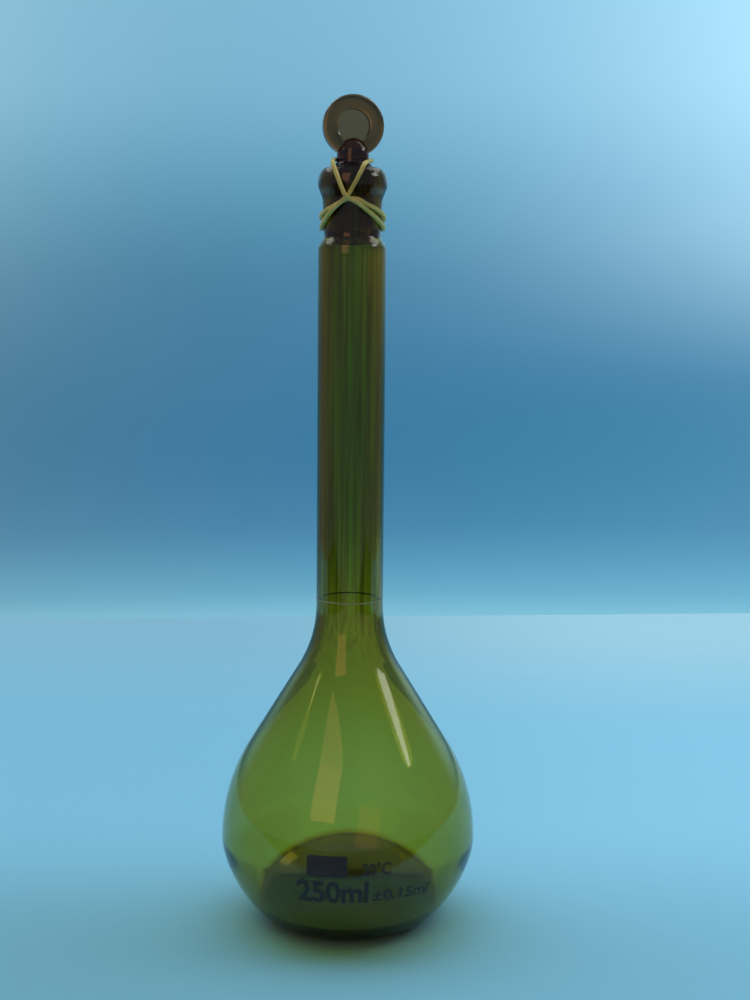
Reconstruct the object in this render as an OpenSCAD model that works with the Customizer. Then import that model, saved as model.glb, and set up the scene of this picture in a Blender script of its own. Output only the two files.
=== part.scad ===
// Volumetric flask in amber glass: pear-shaped bulb, long neck with one
// graduation ring, ground mouth with a flat-headed ground stopper, and a
// rubber band that ties the stopper down. Millimetres, +Z up, front is -Y.
// The origin is the centre of the base, on the surface the flask stands on.

/* [Bulb] */
// Largest outside radius of the bulb
bulb_r = 39.25; // [36:0.25:42]
// Height of the bulb's widest point above the base
bulb_mid_z = 26.2; // [23:0.1:29]
// Outside radius of the flat ring that the flask stands on
base_r = 20; // [18:0.5:23]
// Width of that flat ring
base_ring_w = 3; // [2:0.5:5]
// Height of the hollow under the middle of the base
punt_h = 2; // [1:0.1:3]
// Radius of the bulb's side above its widest point
side_r = 56; // [50:0.5:60]
// Slope of the bulb's cone from vertical, in degrees
cone_angle = 32; // [29:0.5:35]
// Radius of the curve from the cone into the neck
throat_r = 36.5; // [30:0.5:42]

/* [Glass] */
// Wall thickness of the bulb's side
glass_wall = 1.25; // [1:0.05:1.6]
// Wall thickness of the neck
neck_wall = 1.9; // [1.5:0.05:2.2]
// Height of the edge of the bulb's inner floor above the base
base_wall = 5; // [4:0.1:5.5]
// Radius of the bulb's inner floor
floor_r = 25; // [22:0.5:26]
// Rise of the inner floor's middle over its edge
floor_rise = 0.6; // [0.3:0.1:1]

/* [Neck] */
// Outside radius of the neck
neck_r = 10.25; // [9.75:0.05:11]
// Length of the neck's straight tube
neck_len = 107.9; // [90:0.1:130]
// Height of the graduation ring above the foot of the straight tube
ring_up = 2; // [1:0.5:12]
// Width of the graduation ring's line
ring_w = 0.4; // [0.3:0.05:0.8]
// Thickness of the fired enamel in the ring and the writing patch
enamel_t = 0.1; // [0.06:0.02:0.2]

/* [Writing patch] */
// Width of the writing patch along the glass
patch_w = 12; // [8:0.5:16]
// Height of the writing patch along the glass
patch_h = 6.2; // [4:0.2:8]
// Corner radius of the writing patch
patch_corner_r = 0.7; // [0.4:0.1:1.5]
// Height of the patch's middle above the base
patch_z = 29.6; // [24:0.2:34]
// Angle of the patch's middle from the front, towards +X
patch_turn = -8; // [-20:1:20]

/* [Ground mouth] */
// Height of the shoulder between the neck and the waist
shoulder_h = 4.2; // [3.5:0.1:6]
// Outside radius of the mouth at its waist
waist_r = 8.5; // [8.3:0.05:9]
// Height of the waist and socket wall below the collar
socket_h = 9.8; // [9:0.2:13]
// Outside radius of the socket just under the collar
socket_top_r = 9; // [8.8:0.05:9.4]
// Height from the socket's wall to the collar's widest point
collar_rise = 5.3; // [4.5:0.1:6]
// Largest outside radius of the collar
collar_r = 10.4; // [9.8:0.05:11]
// Height of the collar's rounded top
collar_top_h = 4.6; // [4:0.1:5.2]
// Radius of the ground bore at the rim
bore_r = 7.25; // [6.8:0.05:7.4]
// Depth of the ground bore
bore_depth = 18; // [17:0.5:19]
// Radius of the rounding on the rim's inner edge
rim_round = 0.45; // [0.3:0.05:0.6]

/* [Stopper] */
// Gap all round between the ground plug and the ground bore
ground_gap = 0.05; // [0.03:0.01:0.08]
// Length of the ground plug below the rim
plug_len = 23.5; // [20:0.5:27]
// Radius of the rounding at both ends of the plug
plug_round = 0.8; // [0.5:0.1:1]
// Radius of the stopper's stem above the rim
stem_r = 4.85; // [4.4:0.05:5.2]
// Height of the stem from the rim to the foot of its domed end
stem_h = 3.4; // [3:0.2:4.5]
// Height of the stem's domed end
dome_h = 5.5; // [4.5:0.1:6.5]
// Radius of the flat round head
head_r = 9.15; // [8:0.05:10.5]
// Thickness of the flat round head
head_t = 4.2; // [3.4:0.1:5]
// Radius of the rounded edge of the head
head_round = 1.1; // [0.8:0.1:1.3]
// Height of the head's centre above the rim
head_up = 12.2; // [11.5:0.1:13.5]
// Turn of the head's face from the front, in degrees
head_turn = 10; // [-90:5:90]
// Radius of the dished recess in each face of the head
recess_r = 5.35; // [4:0.05:6.5]
// Depth of the recess
recess_d = 0.5; // [0.3:0.1:0.8]

/* [Rubber band] */
// Thickness of the round rubber strand
band_t = 1.1; // [0.9:0.05:1.3]
// Gap between the strand and the glass that it lies against
band_gap = 0.2; // [0.1:0.05:0.4]

/* [Hidden] */
$fn = 96;
arc_steps = 12;
amber = [0.45, 0.36, 0.05];
dark_amber = [0.24, 0.13, 0.03];
enamel_black = [0.10, 0.10, 0.11];
enamel_white = [0.88, 0.86, 0.78];
latex = [0.66, 0.64, 0.34];

// Bulb: pull of the lower curve's two handles, as shares of its width and height
low_pull = 0.47;
high_pull = 0.33;
inner_high_pull = 0.2;
inner_r = neck_r - neck_wall;
punt_r = base_r - base_ring_w;
side_end = [bulb_r - side_r * (1 - cos(cone_angle)), bulb_mid_z + side_r * sin(cone_angle)];
throat_x = neck_r + throat_r * (1 - cos(cone_angle));
cone_h = (side_end[0] - throat_x) / tan(cone_angle);
neck_z = side_end[1] + cone_h + throat_r * sin(cone_angle);

// Heights up the neck and the mouth
neck_top = neck_z + neck_len;
ring_z = neck_z + ring_up;
waist_z = neck_top + shoulder_h;
collar_low_z = waist_z + socket_h;
collar_z = collar_low_z + collar_rise;
rim_z = collar_z + collar_top_h;
rim_r = bore_r + rim_round;

// Ground taper: one in ten on the diameter
taper = 0.05;
bore_low_z = rim_z - bore_depth;
bore_low_r = bore_r - taper * bore_depth;

// Stopper
plug_low_z = rim_z - plug_len;
plug_top_r = bore_r - ground_gap;
stem_flare = 1.6;
head_z = rim_z + head_up;

// Rubber band
band_r = band_t / 2;
band_sides = 8;
rings_per_span = 2;
layer_t = band_t + 0.08;

// Eased step from 0 to 1
function ease(t) = (1 - cos(180 * min(max(t, 0), 1))) / 2;
function mix(a, b, t) = a + (b - a) * t;
function arc(c, r, a0, a1, n) =
    [for (i = [0:n]) let (a = mix(a0, a1, i / n)) c + r * [cos(a), sin(a)]];
function curve(p, n) =
    [for (i = [0:n]) let (t = i / n, s = 1 - t)
        s * s * s * p[0] + 3 * s * s * t * p[1] + 3 * s * t * t * p[2] + t * t * t * p[3]];
function arc_scaled(c, rx, ry, a0, a1, n) =
    [for (i = [0:n]) let (a = mix(a0, a1, i / n)) c + [rx * cos(a), ry * sin(a)]];
function reversed(p) = [for (i = [len(p) - 1:-1:0]) p[i]];
function eased_line(p, q, n) =
    [for (i = [0:n]) [mix(p[0], q[0], ease(i / n)), mix(p[1], q[1], i / n)]];

// Side of the bulb from the edge of its flat up to the neck: w in from the outside
// at the bulb and neck_w in at the neck
function bulb_side(w, neck_w, foot_r, foot_z, high) = concat(
    curve([[foot_r, foot_z],
           [mix(foot_r, bulb_r - w, low_pull), foot_z],
           [bulb_r - w, mix(bulb_mid_z, foot_z, high)],
           [bulb_r - w, bulb_mid_z]], arc_steps),
    arc([bulb_r - side_r, bulb_mid_z], side_r - w, 0, cone_angle, arc_steps),
    arc([neck_r + throat_r, neck_z], throat_r + neck_w, 180 + cone_angle, 180, arc_steps));

// Shallow dome under or inside the base, from the middle to its edge
function floor_line(r, z, rise) =
    [for (i = [0:arc_steps / 2]) let (s = 2 * i / arc_steps) [r * s, z + rise * (1 - s * s)]];

// Outside radius of the mouth at height z
function mouth_r(z) =
    z < waist_z ? mix(neck_r, waist_r, ease((z - neck_top) / shoulder_h)) :
    z < collar_low_z ? mix(waist_r, socket_top_r, pow((z - waist_z) / socket_h, 1.5)) :
    z < collar_z ? mix(socket_top_r, collar_r, ease((z - collar_low_z) / collar_rise)) :
    rim_r + (collar_r - rim_r) * sqrt(max(0, 1 - pow((z - collar_z) / collar_top_h, 2)));

function mouth_side(z0, z1, n) = [for (i = [0:n]) let (z = mix(z0, z1, i / n)) [mouth_r(z), z]];

// Points of the band's route: angle from the front, height from the rim, and how
// many strands lie under it
function at(angle, r, z) = [r * sin(angle), -r * cos(angle), z];
function on_mouth(angle, h, layer = 0) =
    at(angle, mouth_r(rim_z + h) + band_gap + band_r + layer * layer_t, rim_z + h);
function over_rim(angle) = at(angle, rim_r + 1.3, rim_z + band_gap + band_r);
function on_stem(angle, h) = at(angle, stem_r + band_gap + band_r, rim_z + h);

band_route = [
    // Behind the stem, and down the front left over the rim
    on_stem(90, 2.1), on_stem(125, 2.5), on_stem(160, 2.7), on_stem(200, 2.7),
    on_stem(240, 2.6), on_stem(275, 2.3), over_rim(320),
    on_mouth(333, -1.9), on_mouth(341, -4.8, 0.3), on_mouth(346, -6.8, 1.3),
    // Over the crossing, right, and once round the back
    on_mouth(352, -9.1, 2), on_mouth(8, -11.0, 1.6), on_mouth(26, -13.0, 0.5),
    on_mouth(46, -14.8), on_mouth(68, -16.6), on_mouth(90, -17.7),
    on_mouth(120, -17.9, 0.3), on_mouth(150, -17.4, 1), on_mouth(180, -16.7, 1.1),
    on_mouth(210, -16.0, 1), on_mouth(240, -15.2, 0.2), on_mouth(272, -14.4),
    // Up to the crossing from the left, under it, right, and round the back again
    on_mouth(305, -13.0), on_mouth(327, -11.6), on_mouth(350, -9.9),
    on_mouth(8, -9.7), on_mouth(25, -11.1), on_mouth(46, -12.4), on_mouth(68, -13.7),
    on_mouth(92, -14.9), on_mouth(120, -15.7), on_mouth(150, -16.3), on_mouth(180, -16.8),
    on_mouth(210, -17.3), on_mouth(240, -17.7), on_mouth(268, -17.8),
    // Up from the left, between the other two, and over the rim at the right
    on_mouth(292, -16.6), on_mouth(311, -14.6, 0.3), on_mouth(331, -12.3, 1),
    on_mouth(352, -9.1, 1), on_mouth(359, -7.0, 0.5), on_mouth(7, -4.2), on_mouth(14, -1.8),
    over_rim(25)
];

// Point at share t of span i of a smooth closed line through the points p
function smooth(p, i, t) =
    let (n = len(p), a = p[(i + n - 1) % n], b = p[i % n], c = p[(i + 1) % n], d = p[(i + 2) % n])
    0.5 * (2 * b + t * (c - a) + t * t * (2 * a - 5 * b + 4 * c - d)
           + t * t * t * (3 * b - a - 3 * c + d));
function unit(v) = v / norm(v);

// Closed tube of radius r along the points c; each ring stands off the Z axis
module closed_tube(c, r, sides) {
    n = len(c);
    rings = [for (i = [0:n - 1])
        let (along = unit(c[(i + 1) % n] - c[(i + n - 1) % n]),
             side = unit(cross(along, [c[i][0], c[i][1], 0])),
             out = cross(side, along))
        for (k = [0:sides - 1])
            let (a = 360 * k / sides)
            c[i] + r * (cos(a) * out + sin(a) * side)];
    faces = [for (i = [0:n - 1], k = [0:sides - 1])
        let (j = (i + 1) % n, m = (k + 1) % sides)
        for (f = [[i * sides + k, j * sides + k, j * sides + m],
                  [i * sides + k, j * sides + m, i * sides + m]]) f];
    polyhedron(points = rings, faces = faces);
}

module turned(outline) {
    rotate_extrude() polygon(outline);
}

module bulb() {
    outside = bulb_side(0, 0, base_r, 0, high_pull);
    inside = bulb_side(glass_wall, neck_wall, floor_r, base_wall, inner_high_pull);
    color(amber)
        turned(concat(
            outside,
            reversed(inside),
            reversed(floor_line(floor_r, base_wall, floor_rise)),
            floor_line(punt_r, 0, punt_h)));
}

// Space that the ring's enamel fills, let into the neck by its own thickness
module ring_space(depth) {
    turned([[neck_r - enamel_t, ring_z - ring_w / 2],
            [neck_r + depth, ring_z - ring_w / 2],
            [neck_r + depth, ring_z + ring_w / 2],
            [neck_r - enamel_t, ring_z + ring_w / 2]]);
}

module neck() {
    color(amber)
        difference() {
            translate([0, 0, neck_z]) cylinder(r = neck_r, h = neck_len);
            translate([0, 0, neck_z - 1]) cylinder(r = inner_r, h = neck_len + 2);
            ring_space(1);
        }
}

module graduation_ring() {
    color(enamel_white) ring_space(0);
}

// Ground mouth: shoulder, waist, socket wall and collar outside; ground bore inside
module ground_mouth() {
    color(dark_amber)
        turned(concat(
            mouth_side(neck_top, waist_z, arc_steps),
            mouth_side(waist_z, collar_low_z, arc_steps / 2),
            mouth_side(collar_low_z, collar_z, arc_steps),
            arc_scaled([rim_r, collar_z], collar_r - rim_r, collar_top_h, 0, 90, arc_steps),
            arc([rim_r, rim_z - rim_round], rim_round, 90, 180, arc_steps / 2),
            eased_line([bore_low_r, bore_low_z], [inner_r, neck_top], arc_steps)));
}

// Stopper: tapered ground plug, stem with a domed end, and a flat round head with
// a dished recess in each face, pressed in one piece
module stopper() {
    color(dark_amber)
        union() {
            stopper_shaft();
            translate([0, 0, head_z]) rotate([0, 0, head_turn]) stopper_head();
        }
}

module stopper_shaft() {
    low_r = plug_top_r - taper * plug_len;
    turned(concat(
        [[0, plug_low_z]],
        arc([low_r - plug_round, plug_low_z + plug_round], plug_round, -90, 0, arc_steps / 2),
        arc([plug_top_r - plug_round, rim_z - plug_round], plug_round, 0, 90, arc_steps / 2),
        eased_line([plug_top_r - plug_round, rim_z], [stem_r, rim_z + stem_flare], arc_steps),
        arc_scaled([0, rim_z + stem_h], stem_r, dome_h, 0, 90, arc_steps)));
}

module stopper_head() {
    half = head_t / 2;
    edge = arc([head_r - head_round, half - head_round], head_round, 0, 90, arc_steps / 2);
    face = concat(edge, [[recess_r, half], [recess_r - recess_d, half - recess_d], [0, half - recess_d]]);
    rotate([90, 0, 0])
        turned(concat(face, reversed([for (p = face) [p[0], -p[1]]])));
}

// Thin enamel patch that lies on the outside of the bulb
module writing_patch() {
    foot = bulb_side(0, 0, base_r, 0, high_pull);
    skin = bulb_side(-enamel_t, -enamel_t, base_r, -enamel_t, high_pull);
    color(enamel_black)
        intersection() {
            turned(concat(foot, reversed(skin)));
            rotate([0, 0, patch_turn]) translate([0, 0, patch_z]) rotate([90, 0, 0])
                linear_extrude(height = bulb_r + 1) rounded_rectangle(patch_w, patch_h, patch_corner_r);
        }
}

module rounded_rectangle(w, h, r) {
    square([w - 2 * r, h], center = true);
    square([w, h - 2 * r], center = true);
    for (x = [-1, 1], y = [-1, 1]) translate([x * (w / 2 - r), y * (h / 2 - r)]) circle(r);
}

module rubber_band() {
    spans = len(band_route);
    points = [for (i = [0:spans - 1], k = [0:rings_per_span - 1])
        smooth(band_route, i, k / rings_per_span)];
    color(latex) closed_tube(points, band_r, band_sides);
}

bulb();
neck();
ground_mouth();
graduation_ring();
writing_patch();
stopper();
rubber_band();
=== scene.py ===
import math

import bmesh
import bpy
import numpy as np
from mathutils import Matrix, Vector


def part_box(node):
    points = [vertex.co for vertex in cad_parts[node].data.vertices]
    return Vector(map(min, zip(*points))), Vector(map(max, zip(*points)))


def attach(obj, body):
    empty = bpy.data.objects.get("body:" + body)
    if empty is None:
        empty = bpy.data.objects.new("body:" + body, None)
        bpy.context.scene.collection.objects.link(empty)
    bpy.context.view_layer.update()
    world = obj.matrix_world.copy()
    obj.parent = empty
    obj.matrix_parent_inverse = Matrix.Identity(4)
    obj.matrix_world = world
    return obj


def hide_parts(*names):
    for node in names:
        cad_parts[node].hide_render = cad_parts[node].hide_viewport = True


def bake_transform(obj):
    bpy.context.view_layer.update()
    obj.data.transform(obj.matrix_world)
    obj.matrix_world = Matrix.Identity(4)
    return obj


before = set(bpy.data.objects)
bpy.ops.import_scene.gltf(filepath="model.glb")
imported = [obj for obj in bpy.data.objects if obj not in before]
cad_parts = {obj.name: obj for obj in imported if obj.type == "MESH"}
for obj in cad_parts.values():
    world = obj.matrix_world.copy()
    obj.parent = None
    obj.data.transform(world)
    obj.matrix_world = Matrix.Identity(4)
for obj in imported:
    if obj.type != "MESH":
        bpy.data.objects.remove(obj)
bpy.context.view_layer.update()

MM = 0.001
SCENE = bpy.context.scene

# ---------------------------------------------------------------- sizes
# Read from the CAD
BULB_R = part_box("bulb")[1].x
NECK_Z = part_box("neck")[0].z
NECK_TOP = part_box("neck")[1].z
NECK_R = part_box("neck")[1].x
COLLAR_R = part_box("ground_mouth")[1].x
RIM_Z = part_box("ground_mouth")[1].z
RING_LOW, RING_HIGH = (corner.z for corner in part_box("graduation_ring"))
HEAD_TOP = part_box("stopper")[1].z
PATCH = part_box("writing_patch")

# Bulb and neck; the pulls shape the curve from the base to the widest place, outside and inside
BULB_MID_Z = 26.2 * MM
BASE_R = 20 * MM
PUNT_R = 17 * MM
PUNT_H = 2.0 * MM
INNER_FLOOR_RISE = 0.6 * MM
SIDE_R = 56 * MM
CONE = math.radians(32)
THROAT_R = 36.5 * MM
WALL = 1.25 * MM
NECK_WALL = 1.9 * MM
BASE_WALL = 5.0 * MM
INNER_FLOOR_R = 25 * MM
LOW_PULL = 0.47
HIGH_PULL = 0.33
IN_LOW_PULL = 0.47
IN_HIGH_PULL = 0.2

# Ground mouth and its bore
WAIST_Z = NECK_TOP + 4.2 * MM
COLLAR_LOW_Z = WAIST_Z + 9.8 * MM
COLLAR_Z = COLLAR_LOW_Z + 5.3 * MM
WAIST_R = 8.5 * MM
SOCKET_TOP_R = 9 * MM
BORE_R = 7.25 * MM
BORE_DEPTH = 18 * MM
RIM_ROUND = 0.45 * MM
RIM_R = BORE_R + RIM_ROUND
TAPER = 0.05

# Stopper; the head is a disc that stands on edge, with a shallow recess in both faces
PLUG_R = BORE_R - 0.05 * MM
PLUG_LEN = 23.5 * MM
PLUG_ROUND = 0.8 * MM
STEM_R = 4.85 * MM
STEM_FLARE = 1.6 * MM
STEM_H = 3.4 * MM
DOME_H = 5.5 * MM
HEAD_R = 9.15 * MM
HEAD_T = 4.2 * MM
HEAD_ROUND = 1.1 * MM
HEAD_TURN = math.radians(10)
HEAD_Z = HEAD_TOP - HEAD_R
RECESS_R = 5.35 * MM
RECESS_D = 0.5 * MM
RECESS_EDGE_IN = 0.06 * MM
RECESS_EDGE_DROP = 0.03 * MM
RECESS_EDGE_OUT = 0.05 * MM
SHARP_ANGLE = 40

# Rubber band
BAND_T = 1.1 * MM
BAND_CORNER = 0.16 * MM
BAND_GAP = 0.2 * MM
LAYER_T = BAND_T + 0.08 * MM
RIM_CLEAR = 1.3 * MM
BAND_STEPS = 10

# Graduation line: how far it stands out, how deep it sits in the glass, and the share of its
# height that its edges have
RING_PROUD = 0.03 * MM
RING_SUNK = 0.06 * MM
RING_EDGE = 0.6

# Enamel prints; FONT_CAP is the height of the font's capitals at size 1, and the heights are the
# lowest, the highest and the number of places at which the bulb is measured to lay a print on it
PATCH_ANGLE = -8
PATCH_WIDTH = 12 * MM
PATCH_HEIGHT = 6.2 * MM
PATCH_CORNER = 0.7 * MM
PRINT_IN = 0.04 * MM
PRINT_OUT = 0.04 * MM
PRINT_GRID = 0.7 * MM
WRAP_HEIGHTS = (0.2 * MM, 60 * MM, 2400)
WRAP_STEP = 0.1 * MM
FONT_CAP = 0.73

# Meshes: segments round the axis, and distances below which points fall together
FLASK_SEGMENTS = 192
SHAFT_SEGMENTS = 96
HEAD_SEGMENTS = 144
SAME_POINT = 1e-7
ON_AXIS = 1e-9


# ---------------------------------------------------------------- outlines
def mix(a, b, t):
    """The share t of the way from a to b."""
    return a + (b - a) * t


def ease(t):
    """Slow start and slow end, for t from 0 to 1."""
    return (1 - math.cos(math.pi * min(max(t, 0), 1))) / 2


def arc(centre, rx, ry, a0, a1, n):
    """Part of an ellipse from a0 to a1 degrees, in n steps."""
    angles = [math.radians(mix(a0, a1, i / n)) for i in range(n + 1)]
    return [(centre[0] + rx * math.cos(a), centre[1] + ry * math.sin(a)) for a in angles]


def rounded_box(width, height, corner, n):
    """Outline of a rectangle about the origin with rounded corners of n steps."""
    outline = []
    for i, (sx, sy) in enumerate(((1, 1), (-1, 1), (-1, -1), (1, -1))):
        centre = (sx * (width / 2 - corner), sy * (height / 2 - corner))
        outline += arc(centre, corner, corner, 90 * i, 90 * i + 90, n)
    return outline


def curve(p, n):
    """Cubic curve over the four points p, in n steps."""
    points = []
    for i in range(n + 1):
        t = i / n
        s = 1 - t
        k = (s ** 3, 3 * s * s * t, 3 * s * t * t, t ** 3)
        points.append(tuple(sum(w * q[j] for w, q in zip(k, p)) for j in (0, 1)))
    return points


def eased_line(p, q, n):
    """Line whose first coordinate eases from p to q."""
    return [(mix(p[0], q[0], ease(i / n)), mix(p[1], q[1], i / n)) for i in range(n + 1)]


def line(p, q, n):
    return [(mix(p[0], q[0], i / n), mix(p[1], q[1], i / n)) for i in range(n + 1)]


def bulb_side(foot_r, foot_z, w=0, neck_w=0, low_pull=LOW_PULL, high_pull=HIGH_PULL):
    """Side of the bulb from the edge of its flat to the neck, w and neck_w in from the outside."""
    r = BULB_R - w
    cone = math.degrees(CONE)
    foot = curve([(foot_r, foot_z), (mix(foot_r, r, low_pull), foot_z),
                  (r, mix(BULB_MID_Z, foot_z, high_pull)), (r, BULB_MID_Z)], 44)
    side = arc((BULB_R - SIDE_R, BULB_MID_Z), SIDE_R - w, SIDE_R - w, 0, cone, 30)
    throat_r = THROAT_R + neck_w
    throat = arc((NECK_R + THROAT_R, NECK_Z), throat_r, throat_r, 180 + cone, 180, 30)
    return foot + side[1:] + line(side[-1], throat[0], 12)[1:-1] + throat


def mouth_r(z):
    """Outside radius of the mouth at height z."""
    if z < WAIST_Z:
        return mix(NECK_R, WAIST_R, ease((z - NECK_TOP) / (WAIST_Z - NECK_TOP)))
    if z < COLLAR_LOW_Z:
        return mix(WAIST_R, SOCKET_TOP_R, ((z - WAIST_Z) / (COLLAR_LOW_Z - WAIST_Z)) ** 1.5)
    if z < COLLAR_Z:
        return mix(SOCKET_TOP_R, COLLAR_R, ease((z - COLLAR_LOW_Z) / (COLLAR_Z - COLLAR_LOW_Z)))
    share = (z - COLLAR_Z) / (RIM_Z - COLLAR_Z)
    return RIM_R + (COLLAR_R - RIM_R) * math.sqrt(max(0, 1 - share ** 2))


OUTSIDE = bulb_side(BASE_R, 0)
OUTSIDE_Z = [p[1] for p in OUTSIDE]
OUTSIDE_R = [p[0] for p in OUTSIDE]


def outside_r(z):
    """Outside radius of the flask at height z."""
    if z > NECK_TOP:
        return mouth_r(z)
    return float(np.interp(z, OUTSIDE_Z, OUTSIDE_R))


def floor_line(r, z, rise, n=10):
    """Half of a shallow dome over the edge at (r, z)."""
    return [(r * i / n, z + rise * (1 - (i / n) ** 2)) for i in range(n + 1)]


def flask_outline():
    """Half section of the glass, from the middle of its underside to the middle of its floor."""
    under = floor_line(PUNT_R, 0, PUNT_H) + line((PUNT_R, 0), (BASE_R, 0), 3)[1:-1]
    neck = line((NECK_R, NECK_Z), (NECK_R, NECK_TOP), 40)[1:-1]
    mouth = [(mouth_r(z), z) for z in np.linspace(NECK_TOP, COLLAR_Z, 56)]
    rim = arc((RIM_R, COLLAR_Z), COLLAR_R - RIM_R, RIM_Z - COLLAR_Z, 0, 90, 24)
    lip = arc((RIM_R, RIM_Z - RIM_ROUND), RIM_ROUND, RIM_ROUND, 90, 180, 6)
    bore_low = (BORE_R - TAPER * BORE_DEPTH, RIM_Z - BORE_DEPTH)
    bore = line(lip[-1], bore_low, 12)[1:-1]
    inner_r = NECK_R - NECK_WALL
    flare = eased_line(bore_low, (inner_r, NECK_TOP), 24)
    inside = bulb_side(INNER_FLOOR_R, BASE_WALL, WALL, NECK_WALL, IN_LOW_PULL, IN_HIGH_PULL)[::-1]
    tube = line((inner_r, NECK_TOP), inside[0], 40)[1:-1]
    inner_floor = floor_line(INNER_FLOOR_R, BASE_WALL, INNER_FLOOR_RISE)[::-1]
    return (under + OUTSIDE + neck + mouth + rim[1:] + lip[1:] + bore + flare + tube + inside
            + inner_floor)


# ---------------------------------------------------------------- meshes
def piece(name, mesh, body, slot, *materials):
    """Links a mesh as a piece that rides on a body."""
    obj = bpy.data.objects.new(name, mesh)
    SCENE.collection.objects.link(obj)
    for material in materials:
        mesh.materials.append(material)
    if body:
        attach(obj, body)
    return obj


def smooth_mesh(name, vertices, faces):
    mesh = bpy.data.meshes.new(name)
    mesh.from_pydata(vertices, [], faces)
    mesh.validate()
    mesh.shade_smooth()
    return mesh


def outward(mesh):
    """Turns every face of a closed mesh to look outwards."""
    b = bmesh.new()
    b.from_mesh(mesh)
    bmesh.ops.recalc_face_normals(b, faces=b.faces)
    b.to_mesh(mesh)
    b.free()


def angles_round(segments):
    return [2 * math.pi * k / segments for k in range(segments)]


def turned_mesh(name, outline, segments):
    """Closed mesh turned about Z from an outline whose two ends lie on the axis."""
    points = [outline[0]]
    for p in outline[1:]:
        if math.dist(p, points[-1]) > SAME_POINT:
            points.append(p)
    vertices = []
    rings = []
    for r, z in points:
        if r < ON_AXIS:
            rings.append([len(vertices)] * segments)
            vertices.append((0, 0, z))
            continue
        rings.append(list(range(len(vertices), len(vertices) + segments)))
        vertices += [(r * math.cos(a), r * math.sin(a), z) for a in angles_round(segments)]
    faces = []
    for low, high in zip(rings, rings[1:]):
        for k in range(segments):
            m = (k + 1) % segments
            corners = [low[k], low[m], high[m], high[k]]
            face = [c for i, c in enumerate(corners) if c != corners[i - 1]]
            if len(face) > 2:
                faces.append(face)
    return smooth_mesh(name, vertices, faces)


def hoop_faces(n, m):
    """Faces of a closed tube of n sections with m points each."""
    faces = []
    for i in range(n):
        this, after = i * m, (i + 1) % n * m
        for j in range(m):
            k = (j + 1) % m
            faces.append((this + j, this + k, after + k, after + j))
    return faces


def tube_mesh(name, route, section):
    """Closed tube along a closed route; section is its outline."""
    n = len(route)
    vertices = []
    for i, p in enumerate(route):
        along = (route[(i + 1) % n] - route[i - 1]).normalized()
        side = along.cross(Vector((p.x, p.y, 0))).normalized()
        out = side.cross(along)
        vertices += [p + side * u + out * v for u, v in section]
    return smooth_mesh(name, vertices, hoop_faces(n, len(section)))


def evaluated_mesh(obj):
    """Mesh of an object with its modifiers or its text turned into faces."""
    bpy.context.view_layer.update()
    return bpy.data.meshes.new_from_object(obj.evaluated_get(bpy.context.evaluated_depsgraph_get()))


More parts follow.
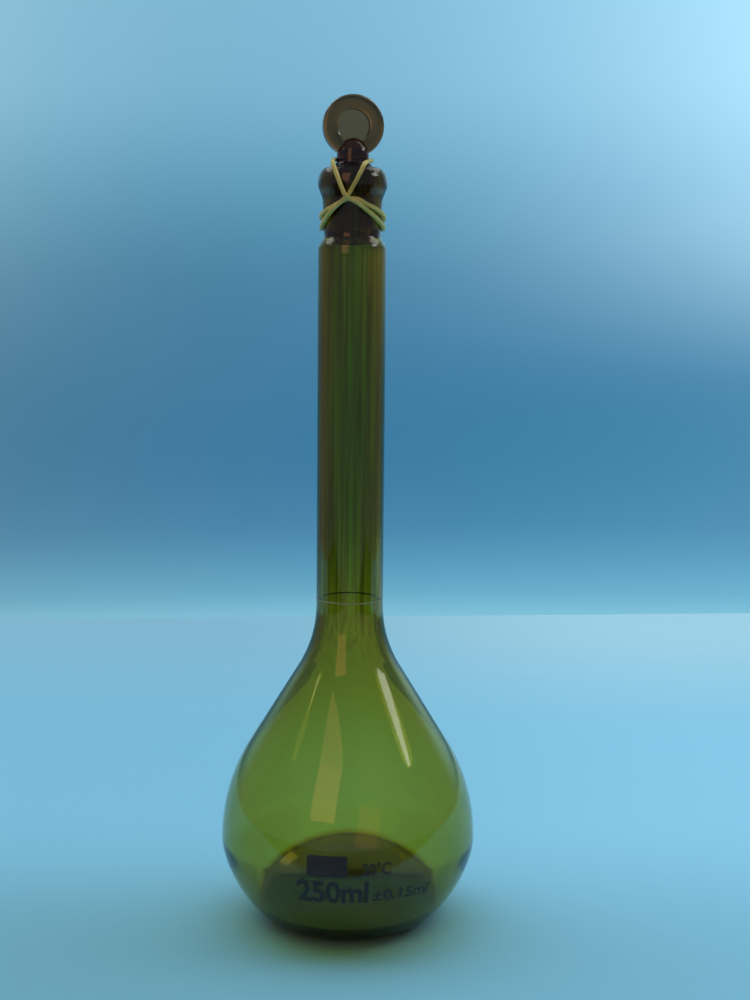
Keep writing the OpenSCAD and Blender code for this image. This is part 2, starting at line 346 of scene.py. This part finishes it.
# ---------------------------------------------------------------- materials
class Nodes:
    """Short names for building a node tree."""

    def __init__(self, tree):
        self.tree = tree
        tree.nodes.clear()

    def add(self, kind, inputs=None, **settings):
        node = self.tree.nodes.new(kind)
        for key, value in settings.items():
            setattr(node, key, value)
        for key, value in (inputs or {}).items():
            self.set(node.inputs[key], value)
        return node

    def set(self, socket, value):
        if isinstance(value, bpy.types.NodeSocket):
            self.tree.links.new(value, socket)
        else:
            socket.default_value = value

    def maths(self, operation, *values):
        node = self.add("ShaderNodeMath", operation=operation)
        for socket, value in zip(node.inputs, values):
            self.set(socket, value)
        return node.outputs[0]

    def plus(self, a, b):
        return self.maths("ADD", a, b)

    def minus(self, a, b):
        return self.maths("SUBTRACT", a, b)

    def times(self, a, b):
        return self.maths("MULTIPLY", a, b)

    def over(self, a, b):
        return self.maths("DIVIDE", a, b)

    def vector(self, operation, inputs):
        return self.add("ShaderNodeVectorMath", inputs, operation=operation).outputs[0]

    def span(self, value, low, high, to_low=0.0, to_high=1.0):
        """Smooth step of a value from one range to another."""
        node = self.add("ShaderNodeMapRange", {"Value": value, "From Min": low, "From Max": high,
                                               "To Min": to_low, "To Max": to_high})
        node.interpolation_type = "SMOOTHSTEP"
        return node.outputs[0]

    def share(self, value, low, high):
        """Share of the way of a value from low to high, kept between 0 and 1."""
        inputs = {"Value": value, "From Min": low, "From Max": high}
        return self.add("ShaderNodeMapRange", inputs).outputs[0]

    def ramp(self, value, stops, shape="LINEAR"):
        node = self.add("ShaderNodeValToRGB", {"Fac": value})
        node.color_ramp.interpolation = shape
        points = node.color_ramp.elements
        while len(points) < len(stops):
            points.new(1)
        for point, (place, colour) in zip(points, stops):
            point.position = place
            point.color = (*colour, 1)
        return node.outputs[0]

    def blend(self, factor, a, b, mode="MIX"):
        node = self.add("ShaderNodeMix", data_type="RGBA", blend_type=mode)
        for socket, value in zip((node.inputs[0], node.inputs[6], node.inputs[7]), (factor, a, b)):
            self.set(socket, (*value, 1) if isinstance(value, tuple) else value)
        return node.outputs[2]

    def place(self, kind="Object"):
        """Coordinates: in metres from the origin, or, as Generated in the world, a direction."""
        return self.add("ShaderNodeTexCoord").outputs[kind]

    def parts(self, vector):
        """The x, y and z of a vector."""
        split = self.add("ShaderNodeSeparateXYZ", {"Vector": vector})
        return split.outputs["X"], split.outputs["Y"], split.outputs["Z"]

    def radius(self, where):
        """Distance from the flask's axis."""
        flat = self.vector("MULTIPLY", {0: where, 1: (1, 1, 0)})
        return self.add("ShaderNodeVectorMath", {0: flat}, operation="LENGTH").outputs["Value"]

    def noise(self, where, scale, detail, stretch=None):
        if stretch:
            where = self.vector("MULTIPLY", {0: where, 1: stretch})
        return self.add("ShaderNodeTexNoise", {"Vector": where, "Scale": scale, "Detail": detail}).outputs[0]

    def bump(self, height, distance):
        return self.add("ShaderNodeBump", {"Height": height, "Distance": distance}).outputs[0]

    def surface(self, inputs):
        shader = self.add("ShaderNodeBsdfPrincipled", inputs)
        out = self.add("ShaderNodeOutputMaterial")
        self.tree.links.new(shader.outputs[0], out.inputs["Surface"])
        return out


def material(name):
    made = bpy.data.materials.new(name)
    made.use_nodes = True
    return made, Nodes(made.node_tree)


# Noises: scale, detail and, where it is drawn out, the stretch of the pattern
DRAWN_LINES = (420, 3, (1, 1, 0.06))
BLOWN_SWELL = (45, 1)
CORDS = (900, 2, (1, 1, 0.02))
BASE_RIPPLE = (60, 2, (1, 1, 6))
PRESSED_SWELL = (160, 2)
GRAIN = (9000, 2)
ENAMEL_MOTTLE = (700, 4)
ENAMEL_PITS = (5200, 2)
LATEX_MOTTLE = (260, 4)
LATEX_NICKS = (2600, 3)
FIBRES = (1400, 4)

# Depths of the relief that these noises make
FLASK_RELIEF = 0.014 * MM
STOPPER_RELIEF = 0.08 * MM
ENAMEL_RELIEF = 0.02 * MM
LATEX_RELIEF = 0.05 * MM
PAPER_RELIEF = 0.02 * MM

# Roughness: the range of the noise, and the range of roughness it becomes
GROUND_ROUGH = (0.3, 0.7, 0.3, 0.42)
ENAMEL_ROUGH = (0.3, 0.7, 0.45, 0.65)
LATEX_ROUGH = (0.3, 0.7, 0.42, 0.6)

# Glass; the losses are the absorption of red, green and blue in each mm
GLASS_IOR = 1.5
FLASK_LOSS = (0.28, 0.33, 1.2)
STOPPER_LOSS = (0.38, 0.59, 0.86)
LOSS_ROOM = 1.05
STOPPER_TINT = (1, 0.93, 0.9, 1)
CLEAR = (1, 1, 1)

# Neck: where its tint and its drawn lines fade in, and how much of the lines the bulb keeps
NECK_FADE = (NECK_Z - 25 * MM, NECK_Z + 5 * MM)
NECK_TINTS = [(0.4, (0.62, 0.5, 0.4)), (0.5, (1, 0.8, 0.8)), (0.6, (0.95, 1, 0.6))]
BULB_LINES = 0.25
SWELL_SHARE = 1.5

# Painted shade: brown to near-black on the inside of the bulb near its floor, darkening the look of the
# thick base, with an amber band at its upper edge.
# Its upper edge rises towards the back, falls towards the sides and ripples a little.
PAINTED_SHADE_Z = 10.6 * MM
PAINTED_SHADE_BELOW = 4 * MM
PAINTED_SHADE_ABOVE = 1 * MM
PAINTED_SHADE_TILT = 0.15
PAINTED_SHADE_SAG = 4.5
PAINTED_SHADE_RIPPLE = 1.2 * MM
PAINTED_SHADE_TINTS = [(0.0, (0.16, 0.05, 0.14)), (0.2, (0.16, 0.06, 0.06)), (0.45, (0.2, 0.06, 0.03)),
               (0.62, (0.08, 0.025, 0.03)), (0.8, (0.8, 0.45, 0.05)), (1.0, (1, 1, 1))]
INNER_R = 24.5 * MM
INNER_LEAN = 0.72
INNER_LOW = 3.5 * MM

# The ground part of the bore: how softly it ends below, and how far it reaches over the bore's radius
GROUND_EDGE = 0.3 * MM
GROUND_OVER = 0.12 * MM

# Enamel and latex, from their main tone to their worn or pale one
RING_TONES = ((0.2, 0.22, 0.1), (0.34, 0.35, 0.2))
PRINT_TONES = ((0.012, 0.013, 0.016), (0.03, 0.032, 0.036))
LATEX_TONES = ((0.46, 0.44, 0.1), (0.64, 0.6, 0.2))
ENAMEL_PLACES = (0.3, 0.75)
LATEX_PLACES = (0.3, 0.7)


def absorb(nodes, out, per_mm):
    """Gives a glass its colour by depth, from its absorption of red, green and blue in each mm."""
    density = max(per_mm) / MM * LOSS_ROOM
    colour = tuple(1 - loss / MM / density for loss in per_mm)
    volume = nodes.add("ShaderNodeVolumeAbsorption", {"Color": (*colour, 1), "Density": density})
    nodes.tree.links.new(volume.outputs[0], out.inputs["Volume"])


def glass(name, paint, loss):
    """Glass whose tint, ground places and relief come from paint(nodes, where, parts, radius)."""
    made, n = material(name)
    where = n.place()
    tint, ground, normal = paint(n, where, n.parts(where), n.radius(where))
    rough = n.times(ground, n.span(n.noise(where, *GRAIN), *GROUND_ROUGH))
    out = n.surface({"Base Color": tint, "Roughness": rough, "IOR": GLASS_IOR,
                     "Transmission Weight": 1.0, "Normal": normal})
    absorb(n, out, loss)
    return made


def painted_base_shade(n, where, parts, radius):
    """Painted shade on the inside of the bulb near its floor, brown to near-black with an amber upper edge;
    clear elsewhere.
    """
    x, y, z = parts
    level = n.minus(z, n.times(y, PAINTED_SHADE_TILT))
    level = n.plus(level, n.times(n.times(x, x), PAINTED_SHADE_SAG))
    level = n.plus(level, n.times(n.noise(where, *BASE_RIPPLE), PAINTED_SHADE_RIPPLE))
    low = n.share(level, PAINTED_SHADE_Z - PAINTED_SHADE_BELOW, PAINTED_SHADE_Z + PAINTED_SHADE_ABOVE)
    inner = n.maths("LESS_THAN", radius, n.plus(n.times(z, INNER_LEAN), INNER_R))
    inner = n.times(inner, n.maths("GREATER_THAN", z, INNER_LOW))
    return n.blend(inner, CLEAR, n.ramp(low, PAINTED_SHADE_TINTS))


def flask_paint(n, where, parts, radius):
    z = parts[2]
    on_neck = n.span(z, *NECK_FADE)
    tint = n.blend(on_neck, CLEAR, n.ramp(n.noise(where, *CORDS), NECK_TINTS))
    # Painted shade near the bulb's floor is multiplied into the tint
    tint = n.blend(1.0, tint, painted_base_shade(n, where, parts, radius), "MULTIPLY")
    bore_low = RIM_Z - BORE_DEPTH
    ground = n.times(n.span(z, bore_low - GROUND_EDGE, bore_low),
                     n.maths("LESS_THAN", radius, BORE_R + GROUND_OVER))
    lines = n.times(n.noise(where, *DRAWN_LINES), n.span(on_neck, 0, 1, BULB_LINES, 1))
    swell = n.times(n.noise(where, *BLOWN_SWELL), SWELL_SHARE)
    return tint, ground, n.bump(n.plus(lines, swell), FLASK_RELIEF)


def stopper_paint(n, where, parts, radius):
    ground = n.times(n.maths("LESS_THAN", parts[2], RIM_Z),
                     n.maths("GREATER_THAN", radius, PLUG_R - TAPER * PLUG_LEN - PLUG_ROUND))
    return STOPPER_TINT, ground, n.bump(n.noise(where, *PRESSED_SWELL), STOPPER_RELIEF)


def enamel(name, tones):
    """Fired enamel: grainy, slightly pitted, uneven in tone."""
    made, n = material(name)
    where = n.place()
    mottle = n.noise(where, *ENAMEL_MOTTLE)
    n.surface({"Base Color": n.ramp(mottle, list(zip(ENAMEL_PLACES, tones))),
               "Roughness": n.span(mottle, *ENAMEL_ROUGH),
               "Normal": n.bump(n.noise(where, *ENAMEL_PITS), ENAMEL_RELIEF)})
    return made


def latex():
    """Aged natural latex: waxy, slightly see-through, with cut faces and fine dust."""
    made, n = material("natural_latex")
    where = n.place()
    nicks = n.noise(where, *LATEX_NICKS)
    tone = n.ramp(n.noise(where, *LATEX_MOTTLE), list(zip(LATEX_PLACES, LATEX_TONES)))
    n.surface({"Base Color": tone, "Roughness": n.span(nicks, *LATEX_ROUGH),
               "Subsurface Weight": 0.35, "Subsurface Radius": (0.8, 0.55, 0.2),
               "Subsurface Scale": 0.8 * MM, "Normal": n.bump(nicks, LATEX_RELIEF)})
    return made


# ---------------------------------------------------------------- camera and floor
# The camera, as fitted to the outline of the flask in the photo; angles in degrees
CAMERA_AT = (0.0075, -0.4709, 0.1899)
CAMERA_LENS = 55.98
CAMERA_DOWN = 7.07
CAMERA_ROLL = 0.54

# Floor tones with painted light and shade, paler to the right and away from the camera and darker near it;
# left and right, and where they change from front to back
FLOOR_DROP = 0.05 * MM
FLOOR_CORNERS = [(-0.7, -0.5), (0.7, -0.5), (0.7, 0.537), (-0.7, 0.413)]
NEAR_FLOOR = ((0.137, 0.37, 0.49), (0.172, 0.46, 0.65))
MID_FLOOR = ((0.185, 0.49, 0.70), (0.23, 0.57, 0.80))
FAR_FLOOR = ((0.215, 0.48, 0.65), (0.33, 0.63, 0.79))
LEFT_TO_RIGHT = (-0.08, 0.18)
NEAR_TO_MID = (-0.05, 0.1)
MID_TO_FAR = (0.2, 0.45)

# Painted reflection: the dark that glass mirrors in front of the floor, and where it begins
PAINTED_DARK_REFLECTION = (0.03, 0.03, 0.035)
PAINTED_DARK_REFLECTION_EDGE = (-0.105, -0.125)


def camera():
    data = bpy.data.cameras.new("camera")
    data.lens = CAMERA_LENS
    data.clip_start = 0.01
    obj = bpy.data.objects.new("camera", data)
    SCENE.collection.objects.link(obj)
    pitch = math.radians(90 - CAMERA_DOWN)
    roll = math.radians(CAMERA_ROLL)
    obj.matrix_world = (Matrix.Translation(CAMERA_AT)
                        @ Matrix.Rotation(pitch, 4, "X") @ Matrix.Rotation(roll, 4, "Z"))
    SCENE.camera = obj


def floor():
    """Blue paper with painted light and shade, paler to the right and away from the camera; a painted
    reflection makes it dark in front to mirrored rays.
    """
    mesh = bpy.data.meshes.new("floor")
    mesh.from_pydata([(x, y, 0) for x, y in FLOOR_CORNERS], [], [(0, 1, 2, 3)])
    made, n = material("floor_paper")
    where = n.place()
    x, y, _ = n.parts(where)
    # Painted light and shade: the paper grows paler to the right and away from the camera
    right = n.span(x, *LEFT_TO_RIGHT)
    near, mid, far = (n.blend(right, *pair) for pair in (NEAR_FLOOR, MID_FLOOR, FAR_FLOOR))
    tone = n.blend(n.span(y, *NEAR_TO_MID), near, mid)
    tone = n.blend(n.span(y, *MID_TO_FAR), tone, far)
    # Painted reflection: to mirrored rays the floor turns dark in front
    mirrored = n.add("ShaderNodeLightPath").outputs["Is Glossy Ray"]
    tone = n.blend(n.times(n.span(y, *PAINTED_DARK_REFLECTION_EDGE), mirrored), tone, PAINTED_DARK_REFLECTION)
    n.surface({"Base Color": tone, "Roughness": 0.9, "Specular IOR Level": 0.1,
               "Normal": n.bump(n.noise(where, *FIBRES), PAPER_RELIEF)})
    obj = bpy.data.objects.new("floor", mesh)
    SCENE.collection.objects.link(obj)
    obj.location.z = -FLOOR_DROP
    mesh.materials.append(made)


# ---------------------------------------------------------------- backdrop and room
# Directions are unit vectors, so a height or a side is a sine; the ramp covers this much each way.
BACKDROP_REACH = 0.25


def share(elevation):
    """Place on the backdrop's ramp of a direction at that elevation."""
    return 0.5 + math.sin(math.radians(elevation)) / (2 * BACKDROP_REACH)


# The seven blues were rounded from a fit to the photo's backdrop
HORIZON = (0.27, 0.6, 0.75)
HAZE = (0.13, 0.4, 0.58)
LOW_BLUE = (0.06, 0.22, 0.39)
DARK_BLUE = (0.04, 0.19, 0.35)
MID_BLUE = (0.08, 0.24, 0.39)
UPPER_BLUE = (0.13, 0.36, 0.53)
PALE_BLUE = (0.23, 0.51, 0.7)
BACKDROP = [(share(-11.8), HORIZON), (share(-10.4), HAZE), (share(-8), LOW_BLUE),
            (share(-4), DARK_BLUE), (share(1), MID_BLUE), (share(4.5), UPPER_BLUE),
            (share(8), PALE_BLUE)]
BACKDROP_TILT = 0.017
SIDE_GLOW = (0.4, 0.5, 0.3)
RIGHT_TINT = (0, 0.1, 0.2)
CORNER_GLOW = (2, 2.6, 2.9)
CORNER_LEAN = 0.2
UPPER_FADE = 0.06

# The room at the sides and in front of the flask, and its high windows
ROOM = (0.24, 0.23, 0.28)
ROOM_SIDE = (0.6, 0.9)
ROOM_BACK = (0.5, 0.8)
HIGH_WINDOWS = (2, 2, 2)
WINDOW_SIDE = (0.25, 0.45)
WINDOW_LOW = (0.49, 0.6)
WINDOW_BACK = (0.02, 0.16)

# Soft light from above: its strengths, and the place and size of its patch on a level ceiling
LIGHT_ALL_ROUND = 0.1
LIGHT_OVERHEAD = 2.8
LIGHT_LEAN = 0.36
LIGHT_WIDE = 1.9
LIGHT_DEEP = 0.75
LOWEST_LIGHT = 0.05


def backdrop_colour(n, x, z):
    """The blue backdrop: a ramp over the height, with glows at the sides and the upper corners."""
    height = n.share(n.minus(z, n.times(x, BACKDROP_TILT)), -BACKDROP_REACH, BACKDROP_REACH)
    colour = n.ramp(height, BACKDROP, "B_SPLINE")
    side = n.maths("MINIMUM", n.maths("MAXIMUM", x, -BACKDROP_REACH), BACKDROP_REACH)
    side_2 = n.times(side, side)
    corners = n.times(n.plus(side_2, n.times(side, CORNER_LEAN)), n.span(z, -UPPER_FADE, UPPER_FADE))
    for amount, tint in ((side_2, SIDE_GLOW), (side, RIGHT_TINT), (corners, CORNER_GLOW)):
        colour = n.vector("ADD", {0: colour, 1: n.vector("SCALE", {0: tint, "Scale": amount})})
    return colour


def overhead_light(n, x, y, z):
    """Light from a soft patch above the flask, with a little from all round."""
    up = n.maths("MAXIMUM", z, LOWEST_LIGHT)
    across = n.over(n.over(x, up), LIGHT_WIDE)
    deep = n.over(n.minus(n.over(y, up), LIGHT_LEAN), LIGHT_DEEP)
    off = n.plus(n.times(across, across), n.times(deep, deep))
    level = n.span(off, 0, 1, LIGHT_OVERHEAD, LIGHT_ALL_ROUND)
    return n.add("ShaderNodeCombineXYZ", {"X": level, "Y": level, "Z": level}).outputs[0]


def sky():
    """World with a different look for each kind of ray.

    The camera sees the backdrop. Refracted rays see it with a dim room at its sides. Mirrored rays
    see the room with its high windows. All else, and what follows a matt surface, gets the light.
    """
    world = bpy.data.worlds.new("studio")
    world.use_nodes = True
    SCENE.world = world
    n = Nodes(world.node_tree)
    x, y, z = n.parts(n.place("Generated"))
    backdrop = backdrop_colour(n, x, z)
    light = overhead_light(n, x, y, z)
    sideways = n.maths("ABSOLUTE", x)
    room = n.blend(n.span(y, *ROOM_BACK), ROOM, backdrop)
    windows = n.times(n.times(n.span(sideways, *WINDOW_SIDE), n.span(z, *WINDOW_LOW)),
                      n.span(y, *WINDOW_BACK))
    room = n.blend(windows, room, HIGH_WINDOWS)
    beyond = n.blend(n.span(sideways, *ROOM_SIDE), backdrop, ROOM)
    path = n.add("ShaderNodeLightPath").outputs
    mirrored = n.blend(path["Is Glossy Ray"], light, room)
    through = n.blend(path["Is Transmission Ray"], mirrored, beyond)
    seen = n.blend(path["Is Camera Ray"], through, backdrop)
    colour = n.blend(n.maths("MINIMUM", path["Diffuse Depth"], 1), seen, light)
    back = n.add("ShaderNodeBackground", {"Color": colour, "Strength": 1.0})
    out = n.add("ShaderNodeOutputWorld")
    n.tree.links.new(back.outputs[0], out.inputs["Surface"])


# ---------------------------------------------------------------- lamps
LAMP_DISTANCE = 1.0
LAMP_AIM = (0, 0, 0.1)


def lamp(name, azimuth, elevation, width, height, radiance, colour=(1, 1, 1)):
    """Area lamp looking at the flask; azimuth 0 is in front of it and 90 to its right."""
    data = bpy.data.lights.new(name, "AREA")
    data.shape = "RECTANGLE"
    data.size = width
    data.size_y = height
    data.color = colour
    data.energy = radiance * math.pi * width * height
    obj = bpy.data.objects.new(name, data)
    SCENE.collection.objects.link(obj)
    a = math.radians(azimuth)
    e = math.radians(elevation)
    back = Vector((math.sin(a) * math.cos(e), -math.cos(a) * math.cos(e), math.sin(e)))
    obj.location = Vector(LAMP_AIM) + back * LAMP_DISTANCE
    obj.rotation_mode = "QUATERNION"
    obj.rotation_quaternion = back.to_track_quat("Z", "Y")
    obj.visible_camera = False


# ---------------------------------------------------------------- the flask
def flask():
    mesh = turned_mesh("flask_glass", flask_outline(), FLASK_SEGMENTS)
    outward(mesh)
    obj = piece("flask_glass", mesh, "flask", "amber_glass",
                glass("amber_flask_glass", flask_paint, FLASK_LOSS))
    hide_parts("bulb", "neck", "ground_mouth")


def ring():
    """Graduation line: a shallow enamel hoop that stands a hair proud of the neck."""
    low, high = RING_LOW, RING_HIGH
    inner = NECK_R - RING_SUNK
    edge = NECK_R + RING_PROUD * RING_EDGE
    outer = NECK_R + RING_PROUD
    outline = [(inner, low), (edge, low), (outer, mix(low, high, 0.2)),
               (outer, mix(low, high, 0.8)), (edge, high), (inner, high)]
    vertices = [(r * math.cos(a), r * math.sin(a), z)
                for a in angles_round(FLASK_SEGMENTS) for r, z in outline]
    mesh = smooth_mesh("graduation_line", vertices, hoop_faces(FLASK_SEGMENTS, len(outline)))
    outward(mesh)
    obj = piece("graduation_line", mesh, "flask", "pale_enamel", enamel("pale_enamel", RING_TONES))
    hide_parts("graduation_ring")


# ---------------------------------------------------------------- prints on the bulb
def wrap(mesh, angle, z0):
    """Lays a flat mesh (x across, y up, z out) on the bulb, centred on an angle from the front."""
    z_at = np.linspace(*WRAP_HEIGHTS)
    r_at = np.array([outside_r(z) for z in z_at])
    run = np.concatenate([[0], np.cumsum(np.hypot(np.diff(z_at), np.diff(r_at)))])
    start = float(np.interp(z0, z_at, run))
    r_mid = outside_r(z0)
    for v in mesh.vertices:
        x, y, out = v.co
        z = float(np.interp(start + y, run, z_at))
        slope = (outside_r(z + WRAP_STEP) - outside_r(z - WRAP_STEP)) / (2 * WRAP_STEP)
        level = 1 / math.hypot(1, slope)
        a = math.radians(angle) + x / r_mid
        r = outside_r(z) + out * level
        v.co = (r * math.sin(a), -r * math.cos(a), z - out * level * slope)
    mesh.update()


def gridded(b, step):
    """Cuts a flat solid along a grid, so that it can bend."""
    for axis in (0, 1):
        places = [v.co[axis] for v in b.verts]
        at = min(places) + step
        while at < max(places):
            place = Vector((0, 0, 0))
            normal = Vector((0, 0, 0))
            place[axis] = at
            normal[axis] = 1
            bmesh.ops.bisect_plane(b, geom=b.verts[:] + b.edges[:] + b.faces[:], plane_co=place,
                                   plane_no=normal, dist=1e-8)
            at += step


def printed(name, words, paint, angle, z0, cap, width, weight):
    """Words in enamel; cap is the height of the capitals and width the length of the line."""
    curve_data = bpy.data.curves.new(name, "FONT")
    curve_data.body = words
    curve_data.size = 1
    curve_data.offset = weight
    # Any depth does here: the points are moved to the depth of the print below
    curve_data.extrude = 0.05
    curve_data.resolution_u = 6
    text = bpy.data.objects.new(name, curve_data)
    SCENE.collection.objects.link(text)
    mesh = evaluated_mesh(text)
    bpy.data.objects.remove(text)
    b = bmesh.new()
    b.from_mesh(mesh)
    bmesh.ops.remove_doubles(b, verts=b.verts, dist=1e-5)
    xs = [v.co.x for v in b.verts]
    middle = (min(xs) + max(xs)) / 2
    across = width / (max(xs) - min(xs))
    up = cap / FONT_CAP
    for v in b.verts:
        v.co = ((v.co.x - middle) * across, v.co.y * up, PRINT_OUT if v.co.z > 0 else -PRINT_IN)
    gridded(b, PRINT_GRID)
    b.to_mesh(mesh)
    b.free()
    mesh.name = name
    wrap(mesh, angle, z0)
    outward(mesh)
    piece(name, mesh, "flask", "black_enamel", paint)


def patch(paint):
    """Writing patch: a rounded rectangle of enamel."""
    b = bmesh.new()
    outline = rounded_box(PATCH_WIDTH, PATCH_HEIGHT, PATCH_CORNER, 8)
    low = [b.verts.new((x, y, -PRINT_IN)) for x, y in outline]
    high = [b.verts.new((x, y, PRINT_OUT)) for x, y in outline]
    b.faces.new(high)
    b.faces.new(low[::-1])
    for i in range(len(low)):
        b.faces.new((low[i - 1], low[i], high[i], high[i - 1]))
    gridded(b, PRINT_GRID)
    mesh = bpy.data.meshes.new("writing_patch_enamel")
    b.to_mesh(mesh)
    b.free()
    wrap(mesh, PATCH_ANGLE, (PATCH[0].z + PATCH[1].z) / 2)
    outward(mesh)
    obj = piece("writing_patch_enamel", mesh, "flask", "black_enamel", paint)
    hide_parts("writing_patch")


def prints():
    paint = enamel("black_enamel", PRINT_TONES)
    patch(paint)
    printed("capacity_print", "250ml", paint,
            angle=-5.6, z0=18.4 * MM, cap=7.2 * MM, width=20.5 * MM, weight=0.03)
    printed("temperature_print", "20°C", paint,
            angle=13.4, z0=27.0 * MM, cap=3.7 * MM, width=8.6 * MM, weight=0.02)
    printed("tolerance_print", "±0.15ml", paint,
            angle=25.6, z0=18.8 * MM, cap=3.7 * MM, width=17.8 * MM, weight=0.02)


# ---------------------------------------------------------------- the stopper
def stopper_outline():
    """Half section of the plug and the stem with its domed end."""
    plug_low = RIM_Z - PLUG_LEN
    low_r = PLUG_R - TAPER * PLUG_LEN
    foot = arc((low_r - PLUG_ROUND, plug_low + PLUG_ROUND), PLUG_ROUND, PLUG_ROUND, -90, 0, 8)
    shoulder = arc((PLUG_R - PLUG_ROUND, RIM_Z - PLUG_ROUND), PLUG_ROUND, PLUG_ROUND, 0, 90, 8)
    stem = eased_line((PLUG_R - PLUG_ROUND, RIM_Z), (STEM_R, RIM_Z + STEM_FLARE), 14)
    dome_z = RIM_Z + STEM_H
    dome = arc((0, dome_z), STEM_R, DOME_H, 0, 90, 28)
    return ([(0, plug_low)] + foot + line(foot[-1], shoulder[0], 30)[1:-1] + shoulder + stem[1:]
            + line(stem[-1], dome[0], 3)[1:-1] + dome[:-1] + [(0, dome_z + DOME_H)])


def head_outline():
    """Half section of the flat head, turned about its own axis."""
    half = HEAD_T / 2
    floor_z = half - RECESS_D
    edge = arc((HEAD_R - HEAD_ROUND, half - HEAD_ROUND), HEAD_ROUND, HEAD_ROUND, 90, 0, 10)
    recess = [(0, floor_z), (RECESS_R - RECESS_D, floor_z),
              (RECESS_R - RECESS_EDGE_IN, half - RECESS_EDGE_DROP), (RECESS_R + RECESS_EDGE_OUT, half)]
    top = recess + edge
    return [(r, -z) for r, z in top] + [(r, z) for r, z in top[::-1]]


def join(obj, other):
    """Makes one solid of two, and removes the other."""
    step = obj.modifiers.new("join", "BOOLEAN")
    step.object = other
    step.operation = "UNION"
    step.solver = "EXACT"
    mesh = evaluated_mesh(obj)
    obj.modifiers.clear()
    obj.data = mesh
    bpy.data.objects.remove(other)


def stopper():
    shaft = turned_mesh("stopper_glass", stopper_outline(), SHAFT_SEGMENTS)
    outward(shaft)
    head = turned_mesh("head", head_outline(), HEAD_SEGMENTS)
    head.transform(Matrix.Translation((0, 0, HEAD_Z)) @ Matrix.Rotation(HEAD_TURN, 4, "Z")
                   @ Matrix.Rotation(math.radians(90), 4, "X"))
    outward(head)
    obj = piece("stopper_glass", shaft, None, None)
    join(obj, piece("head", head, None, None))
    obj.data.name = "stopper_glass"
    obj.data.materials.clear()
    obj.data.materials.append(glass("amber_stopper_glass", stopper_paint, STOPPER_LOSS))
    obj.data.shade_smooth()
    obj.data.set_sharp_from_angle(angle=math.radians(SHARP_ANGLE))
    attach(obj, "stopper")
    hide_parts("stopper")


# ---------------------------------------------------------------- the rubber band
def at(angle, r, z):
    """Point at an angle from the front, in degrees towards the right."""
    a = math.radians(angle)
    return Vector((r * math.sin(a), -r * math.cos(a), z))


def on_mouth(angle, h, layer=0):
    """Point of the band on the mouth: h mm from the rim, some layers of band out from the glass."""
    z = RIM_Z + h * MM
    return at(angle, mouth_r(z) + BAND_GAP + BAND_T / 2 + layer * LAYER_T, z)


def over_rim(angle):
    """Point of the band where it passes over the rim."""
    return at(angle, RIM_R + RIM_CLEAR, RIM_Z + BAND_GAP + BAND_T / 2)


def on_stem(angle, h):
    """Point of the band on the stem, h mm above the rim."""
    return at(angle, STEM_R + BAND_GAP + BAND_T / 2, RIM_Z + h * MM)


def band_route():
    """The band: half a turn round the stem, crossed strands in front, two turns under the collar."""
    return [
        on_stem(90, 2.1), on_stem(125, 2.5), on_stem(160, 2.7), on_stem(200, 2.7),
        on_stem(240, 2.6), on_stem(275, 2.3), over_rim(320),
        on_mouth(333, -1.9), on_mouth(341, -4.8, 0.3), on_mouth(346, -6.8, 1.3),
        on_mouth(352, -9.1, 2), on_mouth(8, -11.0, 1.6), on_mouth(26, -13.0, 0.5),
        on_mouth(46, -14.8), on_mouth(68, -16.6), on_mouth(90, -17.7),
        on_mouth(120, -17.9, 0.3), on_mouth(150, -17.4, 1), on_mouth(180, -16.7, 1.1),
        on_mouth(210, -16.0, 1), on_mouth(240, -15.2, 0.2), on_mouth(272, -14.4),
        on_mouth(305, -13.0), on_mouth(327, -11.6), on_mouth(350, -9.9), on_mouth(8, -9.7),
        on_mouth(25, -11.1), on_mouth(46, -12.4), on_mouth(68, -13.7), on_mouth(92, -14.9),
        on_mouth(120, -15.7), on_mouth(150, -16.3), on_mouth(180, -16.8), on_mouth(210, -17.3),
        on_mouth(240, -17.7), on_mouth(268, -17.8), on_mouth(292, -16.6), on_mouth(311, -14.6, 0.3),
        on_mouth(331, -12.3, 1), on_mouth(352, -9.1, 1), on_mouth(359, -7.0, 0.5),
        on_mouth(7, -4.2), on_mouth(14, -1.8), over_rim(25)]


def smooth(p, i, t):
    """Point on a smooth closed curve through the points p, a share t after point i."""
    a, b, c, d = (p[(i + k) % len(p)] for k in (-1, 0, 1, 2))
    return 0.5 * (2 * b + t * (c - a) + t * t * (2 * a - 5 * b + 4 * c - d)
                  + t * t * t * (3 * b - a - 3 * c + d))


def band():
    points = band_route()
    route = [smooth(points, i, k / BAND_STEPS) for i in range(len(points)) for k in range(BAND_STEPS)]
    mesh = tube_mesh("latex_band", route, rounded_box(BAND_T, BAND_T, BAND_CORNER, 3))
    outward(mesh)
    obj = piece("latex_band", mesh, None, "latex_rubber", latex())
    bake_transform(obj)
    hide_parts("rubber_band")


# ---------------------------------------------------------------- build
camera()
sky()
floor()
lamp("right_window", azimuth=90, elevation=36, width=0.36, height=0.2, radiance=4)
lamp("left_window", azimuth=-80, elevation=36.5, width=0.14, height=0.06, radiance=2.2,
     colour=(1, 1, 0.35))
lamp("doorway", azimuth=-23, elevation=28, width=0.41, height=0.66, radiance=1.4,
     colour=(1, 0.42, 0.18))
flask()
ring()
prints()
stopper()
band()

# Glass within glass needs many bounces, and unblurred reflections keep the highlights sharp
SCENE.view_settings.view_transform = "Standard"
SCENE.cycles.max_bounces = 32
SCENE.cycles.transmission_bounces = 32
SCENE.cycles.glossy_bounces = 12
SCENE.cycles.sample_clamp_indirect = 6
SCENE.cycles.blur_glossy = 0
